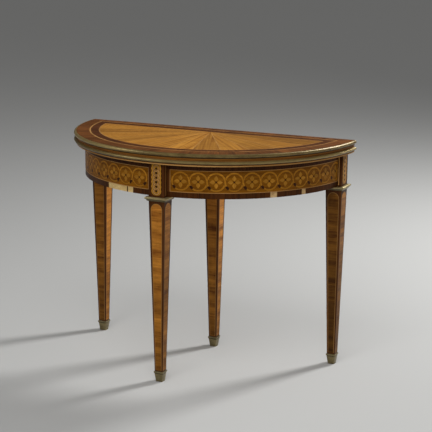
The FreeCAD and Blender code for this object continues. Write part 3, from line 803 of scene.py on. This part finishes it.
CIRCLES = 11
FRONT_BORDER = 9.5 * MM
SIDE_BORDER = 2.5 * MM
FIRST_CIRCLE = 35.5 * MM
CIRCLE_PITCH = 56.4 * MM
END_LINE = 1.6 * MM
EDGE_LINE = 1.8 * MM
RING_RADIUS = 28.0 * MM
RING_HALF = 3.0 * MM
RING_EDGE = 0.8 * MM
RING_STEPS = 48
RING_WEAVE = 0.07 * MM
# Painted highlight at the top of each ring and painted shade at its bottom
RING_PAINTED_LIGHT = 0.14
PETALS = 4
PETAL_START = 3.5 * MM
PETAL_LENGTH = 17 * MM
PETAL_WIDTH = 13 * MM
PETAL_STEPS = 8
PETAL_TIP_SHARE = 0.06
PETAL_FULLNESS = 0.8
HEART_RADIUS = 2.6 * MM
PIP_LENGTH = 14 * MM
PIP_WIDTH = 9 * MM
PIP_TURN = math.radians(220)
PIP_STEPS = 14
PIP_POINTEDNESS = 0.4
GROUND_VENEERS = 5
GROUND_STEPS = 12
GROUND_TONE_SPREAD = TONE_SPREAD / 2
FLORET_LAYER = 0.12 * MM
OUTLINE_LAYER = 0.17 * MM
RING_LAYER = 0.2 * MM
HEART_LAYER = 0.32 * MM
FRIEZE_DEPTH = CORE_RADIUS - APRON_RADIUS


def curved_place(side):
    """Flat coordinates along the apron and up it, with depths outwards from its face."""

    def place(along, height, depth):
        angle = along / APRON_RADIUS
        radius = APRON_RADIUS + depth
        return Vector((side * radius * math.sin(angle), BACK_Y - radius * math.cos(angle), height))

    return place


def woven(place, centre):
    """A place that rises and falls round a ring, so that neighbours pass over and under."""

    def raised(along, height, depth):
        angle = math.atan2(height - centre[1], along - centre[0])
        return place(along, height, depth + RING_WEAVE * math.sin(2 * angle))

    return raised


def ring(mesh, centre, radius, half, top, place, steps=RING_STEPS, limit=math.inf):
    """One ring of a guilloche, with a painted highlight at its top and painted shade at its bottom, and open
    where a limit along the panel cuts it.
    """
    room = limit - centre[0]
    gap = math.acos(room / radius) if room < radius else 0.0
    if gap:
        angles = shares(gap, FULL_TURN - gap, steps)
    else:
        angles = shares(0.0, FULL_TURN * (1 - 1 / steps), steps - 1)
    outer, inner = ([polar(centre, reach, angle) for angle in angles]
                    for reach in (radius + half, radius - half))
    # painted highlight at the ring's top, painted shade at its bottom
    tones = [RING_PAINTED_LIGHT * math.sin(angle) for angle in angles]
    ribbon(mesh, outer, inner, -INLAY_DEPTH, top, woven(place, centre), shifted(lengthwise), tones,
           closed=not gap)


def petal(mesh, centre, angle, place, tone):
    """One leaf-shaped petal of a floret, with its grain along it."""
    ray = Vector((math.cos(angle), math.sin(angle)))
    aside = Vector((-ray.y, ray.x))
    first = []
    second = []
    for share in shares(0.0, 1.0, PETAL_STEPS):
        middle = Vector(centre) + ray * (PETAL_START + PETAL_LENGTH * share)
        swell = PETAL_WIDTH / 2 * max(PETAL_TIP_SHARE, math.sin(math.pi * share ** PETAL_FULLNESS))
        first.append(tuple(middle + aside * swell))
        second.append(tuple(middle - aside * swell))

    def petal_grain(along, height):
        away = Vector((along, height)) - Vector(centre)
        return away.dot(ray), away.dot(aside)

    ribbon(mesh, first, second, -INLAY_DEPTH, FLORET_LAYER, place, shifted(petal_grain), tone)


def pip(mesh, centre, place):
    """A dark leaf that lies along the lower side of a ring, towards the front leg."""
    spot = Vector(centre) + RING_RADIUS * Vector((math.cos(PIP_TURN), math.sin(PIP_TURN)))
    along = Vector((-math.sin(PIP_TURN), math.cos(PIP_TURN)))
    aside = Vector((along.y, -along.x))
    outline = []
    for turn in shares(0.0, FULL_TURN * (1 - 1 / PIP_STEPS), PIP_STEPS - 1):
        reach = PIP_LENGTH / 2 * math.cos(turn) * abs(math.cos(turn)) ** PIP_POINTEDNESS
        swell = PIP_WIDTH / 2 * math.sin(turn)
        outline.append(tuple(spot + along * reach + aside * swell))
    tile(mesh, outline, -INLAY_DEPTH, HEART_LAYER, place, lengthwise)


def frieze_ground(name, place, inside, foot, head):
    """Lengths of plain veneer behind the rings."""
    ground = Veneers()
    lengths = shares(*inside, GROUND_VENEERS)
    for first, last in zip(lengths, lengths[1:]):
        along = shares(first, last, GROUND_STEPS)
        ribbon(ground, [(step, foot) for step in along], [(step, head) for step in along],
               FRIEZE_DEPTH, 0.0, place, shifted(lengthwise), own_tone(GROUND_TONE_SPREAD))
    add_piece(name + "_frieze_ground", ground, FRIEZE_GROUND, "frieze_marquetry", "frame", name + "_frieze")


def frieze_borders(name, place, outside, inside, foot, head):
    """Dark borders at both ends of the ground, and light lines all round it."""
    borders = Veneers()
    lines = Veneers()
    for outer, inner in zip(outside, inside):
        line = inner + math.copysign(END_LINE, inner - outer)
        ribbon(borders, [(outer, foot), (outer, head)], [(inner, foot), (inner, head)],
               FRIEZE_DEPTH, 0.0, place, shifted(crosswise))
        ribbon(lines, [(inner, foot), (inner, head)], [(line, foot), (line, head)],
               -INLAY_DEPTH, FLORET_LAYER, place, shifted(crosswise))
    along = shares(*inside, GROUND_VENEERS * GROUND_STEPS)
    for edge, line in ((foot, foot + EDGE_LINE), (head, head - EDGE_LINE)):
        ribbon(lines, [(step, edge) for step in along], [(step, line) for step in along],
               -INLAY_DEPTH, FLORET_LAYER, place, shifted(lengthwise))
    add_piece(name + "_frieze_borders", borders, LEG_BORDER, "dark_banding", "frame")
    add_piece(name + "_frieze_lines", lines, BOXWOOD, "light_stringing", "frame")


def frieze_rings(name, place, inside, middle):
    """Interlaced rings, each with a floret, a dark heart and a dark leaf."""
    begin, end = inside
    rings = Veneers()
    outlines = Veneers()
    florets = Veneers()
    hearts = Veneers()
    for number in range(CIRCLES):
        centre = (begin + FIRST_CIRCLE + CIRCLE_PITCH * number, middle)
        ring(rings, centre, RING_RADIUS, RING_HALF, RING_LAYER, place, limit=end)
        ring(outlines, centre, RING_RADIUS, RING_HALF + RING_EDGE, OUTLINE_LAYER, place, limit=end)
        for leaf in range(PETALS):
            petal(florets, centre, FULL_TURN * leaf / PETALS, place, own_tone(TONE_SPREAD))
        tile(hearts, circle(centre, HEART_RADIUS, PIP_STEPS), -INLAY_DEPTH, HEART_LAYER, place, lengthwise)
        pip(hearts, centre, place)
    add_piece(name + "_guilloche", rings, GUILLOCHE_WOOD, "frieze_marquetry", "frame")
    add_piece(name + "_guilloche_outline", outlines, SHADED_WOOD, "dark_banding", "frame")
    add_piece(name + "_florets", florets, FLORET_WOOD, "frieze_marquetry", "frame")
    add_piece(name + "_pips", hearts, SHADED_WOOD, "dark_banding", "frame")


def frieze(name, side):
    """The marquetry of one half of the apron, from the front leg to a side leg."""
    node = name + "_frieze"
    place = curved_place(side)
    foot = low(node).z
    head = high(node).z
    inner_x = min(abs(low(node).x), abs(high(node).x))
    begin = APRON_RADIUS * math.asin(inner_x / APRON_RADIUS)
    end = APRON_RADIUS * math.acos((BACK_Y - high(node).y) / APRON_RADIUS)
    inside = (begin + FRONT_BORDER, end - SIDE_BORDER)
    frieze_ground(name, place, inside, foot, head)
    frieze_borders(name, place, (begin, end), inside, foot, head)
    frieze_rings(name, place, inside, (foot + head) / 2)


# Legs

CORNER_STEPS = 3
ARRIS = 1.0 * MM
# The taper's half width at the top of the shoe, and where the leg ends inside the shoe
TAPER_END_HALF = 14 * MM
LEG_FOOT = 30 * MM
PANEL_SHARE = 0.74
PANEL_GAP = 7.5 * MM
PANEL_FOOT = 3.0 * MM
PANEL_LINE = 1.5 * MM
PANEL_VENEERS = 9
# Painted shade: leg panels are darker towards the foot and lighter at the arch
PANEL_PAINTED_SHADE_FALL = 0.7
PANEL_TONE_SPREAD = TONE_SPREAD / 3
PANEL_VENEER_SPREAD = TONE_SPREAD / 2
PANEL_LINE_TONE = -0.24
LEG_TONES = (0.0, -0.05, 0.0)
# Painted light and shade on each leg's panels: on its front and back faces, then on its two side faces
FRONT_PAINTED_LIGHT_TONES = {"left": -0.18, "front": 0.26, "right": -0.6, "rear": 0.0}
SIDE_PAINTED_LIGHT_TONES = {"left": 0.66, "front": 0.14, "right": -0.3, "rear": 0.45}
ARCH_STEPS = 14
STRIP_HALF = 17 * MM
STRIP_SCALLOP = 1.8 * MM
STRIP_EDGE_STEPS = 48
STRIP_FOOT_GAP = 5 * MM
STRIP_FOOT_REACH = 14.4 * MM
STRIP_HEAD_GAP = 3 * MM
STRIP_PITCH = 14.4 * MM
STRIP_RINGS = 6
STRIP_RING_RADIUS = 10.2 * MM
STRIP_RING_HALF = 2.2 * MM
STRIP_RING_EDGE = 1.0 * MM
STRIP_RING_STEPS = 30
DOT_RADIUS = 4.3 * MM
BLOCK_LINE_HALF = 1.5 * MM
BLOCK_LINE_INSET = 10 * MM
# A painted highlight on the right leg's block lines and painted shade on the front leg's
BLOCK_LINE_PAINTED_LIGHT = {"left": 0.0, "front": -0.1, "right": 0.45}
FACE_WAYS = (Vector((0, -1)), Vector((1, 0)), Vector((0, 1)), Vector((-1, 0)))


def half_at(height):
    """Half the width of a leg at a height."""
    share = (height - SABOT_TOP) / (TAPER_TOP - SABOT_TOP)
    return TAPER_END_HALF + (LEG_HALF - TAPER_END_HALF) * min(1.0, share)


def square_ring(centre, half, height, corner):
    """A square with rounded corners at a height."""
    points = []
    away = half - corner
    for quarter, (x_way, y_way) in enumerate(((1, 1), (-1, 1), (-1, -1), (1, -1))):
        for share in shares(0.0, 1.0, CORNER_STEPS):
            angle = math.pi / 2 * (quarter + share)
            points.append(Vector((centre.x + x_way * away + corner * math.cos(angle),
                                  centre.y + y_way * away + corner * math.sin(angle), height)))
    return points


def face_place(centre, way):
    """Flat coordinates across and up one face of a leg, with depths outwards."""
    aside = Vector((-way.y, way.x))

    def place(across, height, depth):
        spot = centre + way * (half_at(height) + depth) + aside * across
        return Vector((spot.x, spot.y, height))

    return place


def panel_edge(inset):
    """The outline of a leg panel from its left foot over the arch to its right foot."""
    foot = SABOT_TOP + PANEL_FOOT + inset
    spring = TAPER_TOP - PANEL_GAP - LEG_HALF * PANEL_SHARE
    radius = half_at(spring) * PANEL_SHARE - inset
    edge = [(half_at(foot) * PANEL_SHARE - inset, foot)]
    for share in shares(0.0, 1.0, ARCH_STEPS):
        edge.append(polar((0.0, spring), radius, math.pi * share))
    edge.append((-edge[0][0], foot))
    return edge


def panel(mesh, place, tone):
    """An arched panel of short veneers laid across the leg, with painted shade that darkens it towards the
    foot and lightens the arch.
    """
    edge = panel_edge(0.0)
    foot = edge[0][1]
    spring = edge[1][1]
    heights = shares(foot, spring, PANEL_VENEERS)
    for step, ends in enumerate(zip(heights, heights[1:])):
        left = [(-half_at(height) * PANEL_SHARE, height) for height in ends]
        right = [(half_at(height) * PANEL_SHARE, height) for height in ends]
        # painted shade, darker towards the foot
        fall = PANEL_PAINTED_SHADE_FALL * (step / PANEL_VENEERS - 0.5) + own_tone(PANEL_VENEER_SPREAD)
        fallen_tone = (1 + tone) * (1 + fall) - 1
        ribbon(mesh, left, right, -INLAY_DEPTH, INLAY_PROUD, place, shifted(lengthwise), fallen_tone)
    head_tone = (1 + tone) * (1 + PANEL_PAINTED_SHADE_FALL / 2) - 1
    tile(mesh, edge[1:-1], -INLAY_DEPTH, INLAY_PROUD, place, shifted(lengthwise), head_tone)


def leg(name):
    """One leg: dark veneer, arched light panels, and the inlays of its block."""
    body, outward = LEGS[name]
    node = name + "_leg"
    centre = plan_centre(node)
    block_top = high(node).z
    solid = Veneers()
    heights = (LEG_FOOT, TAPER_TOP, block_top - ARRIS, block_top)
    halves = (half_at(LEG_FOOT), LEG_HALF, LEG_HALF, LEG_HALF - ARRIS / 2)
    rings = [square_ring(centre, half, height, ARRIS) for half, height in zip(halves, heights)]
    loft(solid, rings, LEG_TONES, False)
    add_piece(name + "_leg_veneer", solid, LEG_BORDER, "leg_veneer", body, node)

    panels = Veneers()
    lines = Veneers()
    for way in FACE_WAYS:
        place = face_place(centre, way)
        # painted light and shade that differ from leg to leg and from face to face
        tones = FRONT_PAINTED_LIGHT_TONES if way.y else SIDE_PAINTED_LIGHT_TONES
        panel(panels, place, tones[name] + own_tone(PANEL_TONE_SPREAD))
        ribbon(lines, panel_edge(0.0), panel_edge(PANEL_LINE), -INLAY_DEPTH, 2 * INLAY_PROUD, place,
               shifted(crosswise), PANEL_LINE_TONE)
    add_piece(name + "_leg_panels", panels, TULIPWOOD, "leg_veneer", body)
    add_piece(name + "_leg_lines", lines, BOXWOOD, "light_stringing", body)
    if name != "rear":
        block_inlay(name, body, centre, outward, block_top)


def strip_outline(foot, head):
    """The outline of a block's strip: a round foot, edges drawn in between the rings, a square head."""
    first = foot + STRIP_FOOT_REACH
    right = []
    for share in shares(0.0, 1.0, ARCH_STEPS):
        angle = math.pi / 2 * share
        right.append((STRIP_HALF * math.sin(angle), first - STRIP_FOOT_REACH * math.cos(angle)))
    for height in shares(first, head, STRIP_EDGE_STEPS)[1:]:
        pinch = (1 - math.cos(FULL_TURN * (height - first) / STRIP_PITCH)) / 2
        right.append((STRIP_HALF - STRIP_SCALLOP * pinch, height))
    return right + [(-across, height) for across, height in reversed(right[1:])]


def block_rings(name, body, place, foot, head):
    """Small interlaced rings with dark dots on a block's strip."""
    rings = Veneers()
    outlines = Veneers()
    dots = Veneers()

    def upright(height, across, depth):
        return place(across, height, depth)

    for number in range(STRIP_RINGS):
        spot = (foot + STRIP_FOOT_REACH + STRIP_PITCH * number, 0.0)
        ring(rings, spot, STRIP_RING_RADIUS, STRIP_RING_HALF, RING_LAYER, upright, STRIP_RING_STEPS, head)
        ring(outlines, spot, STRIP_RING_RADIUS, STRIP_RING_HALF + STRIP_RING_EDGE, OUTLINE_LAYER, upright,
             STRIP_RING_STEPS, head)
        tile(dots, circle(spot, DOT_RADIUS, PIP_STEPS), -INLAY_DEPTH, HEART_LAYER, upright, lengthwise)
    add_piece(name + "_block_rings", rings, BOXWOOD, "frieze_marquetry", body)
    add_piece(name + "_block_ring_outlines", outlines, LEG_BORDER, "dark_banding", body)
    add_piece(name + "_block_dots", dots, SHADED_WOOD, "dark_banding", body)


def block_lines(name, body, centre, outward, foot, head):
    """A thin light line on each of the two faces beside a block's strip."""
    lines = Veneers()
    for way in FACE_WAYS:
        if way.dot(outward):
            continue
        aside = Vector((-way.y, way.x))
        middle = (LEG_HALF - BLOCK_LINE_INSET) * aside.dot(outward)
        left, right = ([(middle + shift, foot), (middle + shift, head)]
                       for shift in (-BLOCK_LINE_HALF, BLOCK_LINE_HALF))
        # each leg's tone: painted highlight on the right leg, painted shade on the front leg
        ribbon(lines, left, right, -INLAY_DEPTH, INLAY_PROUD, face_place(centre, way), shifted(crosswise),
               BLOCK_LINE_PAINTED_LIGHT[name])
    add_piece(name + "_block_lines", lines, BOXWOOD, "light_stringing", body)


def block_inlay(name, body, centre, outward, block_top):
    """A strip of rings on the outward face of a leg's block, and thin lines beside it."""
    place = face_place(centre, outward)
    foot = COLLAR_TOP + STRIP_FOOT_GAP
    head = block_top - STRIP_HEAD_GAP
    strip = Veneers()
    tile(strip, strip_outline(foot, head), -INLAY_DEPTH, INLAY_PROUD, place, shifted(crosswise))
    add_piece(name + "_block_strip", strip, STRIP_WOOD, "frieze_marquetry", body)
    block_rings(name, body, place, foot, head)
    block_lines(name, body, centre, outward, foot, head)


# Brass of the legs

# Each row is a ring: its shares of the overhang and of the height, and the tone from there to the next ring;
# the high tones on the upper round are wear with a painted highlight
COLLAR_SHARES = (
    (0.0, 1.0, 0.2), (0.62, 1.0, 0.26), (0.82, 0.95, 0.3), (0.95, 0.85, 0.3), (1.0, 0.72, 0.28),
    (0.98, 0.6, 0.1), (0.9, 0.5, -0.16), (0.76, 0.46, -0.16), (0.58, 0.36, -0.1), (0.46, 0.18, -0.1),
    (0.42, 0.0, -0.1), (0.0, 0.0, -0.1),
)
COLLAR_CORNER = 1.2 * MM
# The same for a shoe, with shares of its half width
SABOT_SHARES = (
    (0.69, 0.0, -0.1), (0.65, 0.02, -0.05), (0.68, 0.12, 0.0), (0.79, 0.48, 0.0), (0.87, 0.74, -0.15),
    (0.87, 0.80, -0.25), (0.94, 0.82, -0.15), (0.99, 0.85, 0.0), (1.0, 0.895, 0.06), (0.99, 0.94, 0.0),
    (0.94, 0.97, -0.15), (0.87, 0.98, -0.25), (0.86, 1.0, -0.2), (0.82, 1.0, -0.2),
)
SABOT_CORNER = 1.4 * MM


def collar(name):
    """The brass moulding between a leg's block and its taper: a round over a hollow."""
    node = name + "_collar"
    overhang = half_width(node) - LEG_HALF
    height = COLLAR_TOP - TAPER_TOP
    rings = [square_ring(plan_centre(node), LEG_HALF + out * overhang, TAPER_TOP + up * height, COLLAR_CORNER)
             for out, up, tone in COLLAR_SHARES]
    mesh = Veneers()
    loft(mesh, rings, [tone for out, up, tone in COLLAR_SHARES], True)
    add_piece(node + "_moulding", mesh, BRASS, "brass", LEGS[name][0], node)


def sabot(name):
    """The cast brass shoe of a leg: a banded rim over a tapered foot."""
    node = name + "_sabot"
    rings = [square_ring(plan_centre(node), out * half_width(node), up * SABOT_TOP, SABOT_CORNER)
             for out, up, tone in SABOT_SHARES]
    mesh = Veneers()
    loft(mesh, rings, [tone for out, up, tone in SABOT_SHARES], False)
    add_piece(node + "_casting", mesh, BRASS, "brass", LEGS[name][0], node)


# Cloth of the two leaves

CLOTH_STEPS = 96


def cloth(node, body):
    """Baize laid in the shallow bed of a leaf, cut to a half round."""
    shape = half_round(node)
    outline = [arc_point(shape, share) for share in shares(0.0, 1.0, CLOTH_STEPS)]
    mesh = Veneers()
    tile(mesh, outline, low(node).z, high(node).z, level_place, lengthwise)
    piece = add_piece(node + "_baize", mesh, BAIZE, "baize", body, node)
    half = back_point(shape, 1.0)[0]


# Finishes of the solids that stay

def dress_solids():
    """Every solid gets its own finish or that of its slot; oak has its grain along the solid's length."""
    by_node = {"left_apron": PALE_OAK}
    by_slot = {"leaf_wood": LEAF_WOOD, "dark_banding": BANDING_WOOD, "rail_wood": RAIL_WOOD, "brass": BRASS,
               "steel_screws": STEEL, "baize": BAIZE, "fan_satinwood": SATINWOOD,
               "light_stringing": BOXWOOD, "frieze_marquetry": FRIEZE_GROUND, "leg_veneer": LEG_BORDER}
    for part in frame["record"]["subparts"]:
        node = part["node"]
        span = high(node) - low(node)
        oak = OAK_ALONG_Y if span.y > span.x else OAK_ALONG_X
        material = by_node.get(node) or by_slot.get(part["material_slot"], oak)
        data = frame["nodes"][node].data
        data.materials.clear()
        data.materials.append(material)


# Floor, light and camera

FLOOR_REACH = 60.0
FLOOR_STEPS = 64
FLOOR_COLOUR = paint(196, 196, 194)
FLOOR_ROUGHNESS = 0.8
FLOOR_SPECULAR = 0.1
SEEN_COLOUR = paint(72, 70, 67)
AMBIENT = 0.24
# Each lamp has its place, the width of its square and its power
KEY = ((1.8, 2.9, 3.0), 0.7, 142.0)
GLINT = ((1.0, 3.2, 3.2), 0.9, 95.0)
FILL = ((0.5, -2.2, 2.8), 2.4, 54.0)
GLEAM = ((-2.4, -1.6, 2.75), 0.9, 22.0)
AIM = Vector((0.0, 0.0, 0.45))


def floor():
    """A wide plain floor under the feet."""
    data = bpy.data.meshes.new("floor")
    points = [(x, y, 0.0) for x, y in circle((0.0, 0.0), FLOOR_REACH, FLOOR_STEPS)]
    data.from_pydata(points, [], [tuple(range(FLOOR_STEPS))])
    material, tree, shader = start_material("studio_floor")
    shader.inputs["Base Color"].default_value = FLOOR_COLOUR
    shader.inputs["Roughness"].default_value = FLOOR_ROUGHNESS
    shader.inputs["Specular IOR Level"].default_value = FLOOR_SPECULAR
    data.materials.append(material)
    ground = add_object("floor", data)


def sky():
    """Even light from all round; what the camera and the polish see of it is plain grey."""
    world = bpy.data.worlds.new("studio")
    bpy.context.scene.world = world
    world.use_nodes = True
    tree = world.node_tree
    tree.nodes.clear()
    path = tree.nodes.new("ShaderNodeLightPath")
    seen = arithmetic(tree, "MAXIMUM", path.outputs["Is Camera Ray"], path.outputs["Is Glossy Ray"])
    seen = arithmetic(tree, "MAXIMUM", seen, path.outputs["Is Transmission Ray"])
    lighting = add_node(tree, "ShaderNodeBackground", Color=(1.0, 1.0, 1.0, 1.0), Strength=AMBIENT)
    backdrop = add_node(tree, "ShaderNodeBackground", Color=SEEN_COLOUR, Strength=1.0)
    mix = tree.nodes.new("ShaderNodeMixShader")
    for source, socket in zip((seen, lighting.outputs[0], backdrop.outputs[0]), mix.inputs):
        tree.links.new(source, socket)
    output = tree.nodes.new("ShaderNodeOutputWorld")
    tree.links.new(mix.outputs[0], output.inputs["Surface"])


def lamp(name, spot, size, power, lights=True, glints=True):
    """A square soft light aimed at the table, which lights it, shows in its polish, or both."""
    data = bpy.data.lights.new(name, "AREA")
    data.shape = "SQUARE"
    data.size = size
    data.energy = power
    made = add_object(name, data)
    made.location = spot
    made.rotation_euler = (AIM - Vector(spot)).to_track_quat("-Z", "Y").to_euler()
    made.visible_diffuse = lights
    made.visible_glossy = glints


CAMERA_TARGET = Vector((0.0810, 0.04405, 0.5055))
CAMERA_DISTANCE = 4.7846
CAMERA_AZIMUTH = math.radians(24.56)
CAMERA_ELEVATION = math.radians(12.70)
CAMERA_ROLL = math.radians(0.43)
CAMERA_LENS = 121.15
SENSOR_WIDTH = 36.0


def camera():
    """The camera where the photograph was taken from."""
    away = Vector((math.sin(CAMERA_AZIMUTH) * math.cos(CAMERA_ELEVATION),
                   -math.cos(CAMERA_AZIMUTH) * math.cos(CAMERA_ELEVATION), math.sin(CAMERA_ELEVATION)))
    turn = away.to_track_quat("Z", "Y").to_matrix().to_4x4()
    data = bpy.data.cameras.new("camera")
    data.lens = CAMERA_LENS
    data.sensor_width = SENSOR_WIDTH
    data.sensor_fit = "HORIZONTAL"
    made = add_object("camera", data)
    place = Matrix.Translation(CAMERA_TARGET + away * CAMERA_DISTANCE)
    made.matrix_world = place @ turn @ Matrix.Rotation(CAMERA_ROLL, 4, "Z")
    bpy.context.scene.camera = made


# The whole table

dress_solids()
top_marquetry()
leaf_rims()
for side_name, side_way in SIDES.items():
    frieze(side_name, side_way)
for leg_name in LEGS:
    leg(leg_name)
    collar(leg_name)
    sabot(leg_name)
cloth("upper_cloth", "flap")
cloth("lower_cloth", "frame")
floor()
sky()
lamp("key_light", *KEY, glints=False)
lamp("glint_light", *GLINT, lights=False)
lamp("fill_light", *FILL, glints=False)
lamp("gleam_light", *GLEAM, lights=False)
camera()
bpy.context.scene.view_settings.view_transform = "Standard"
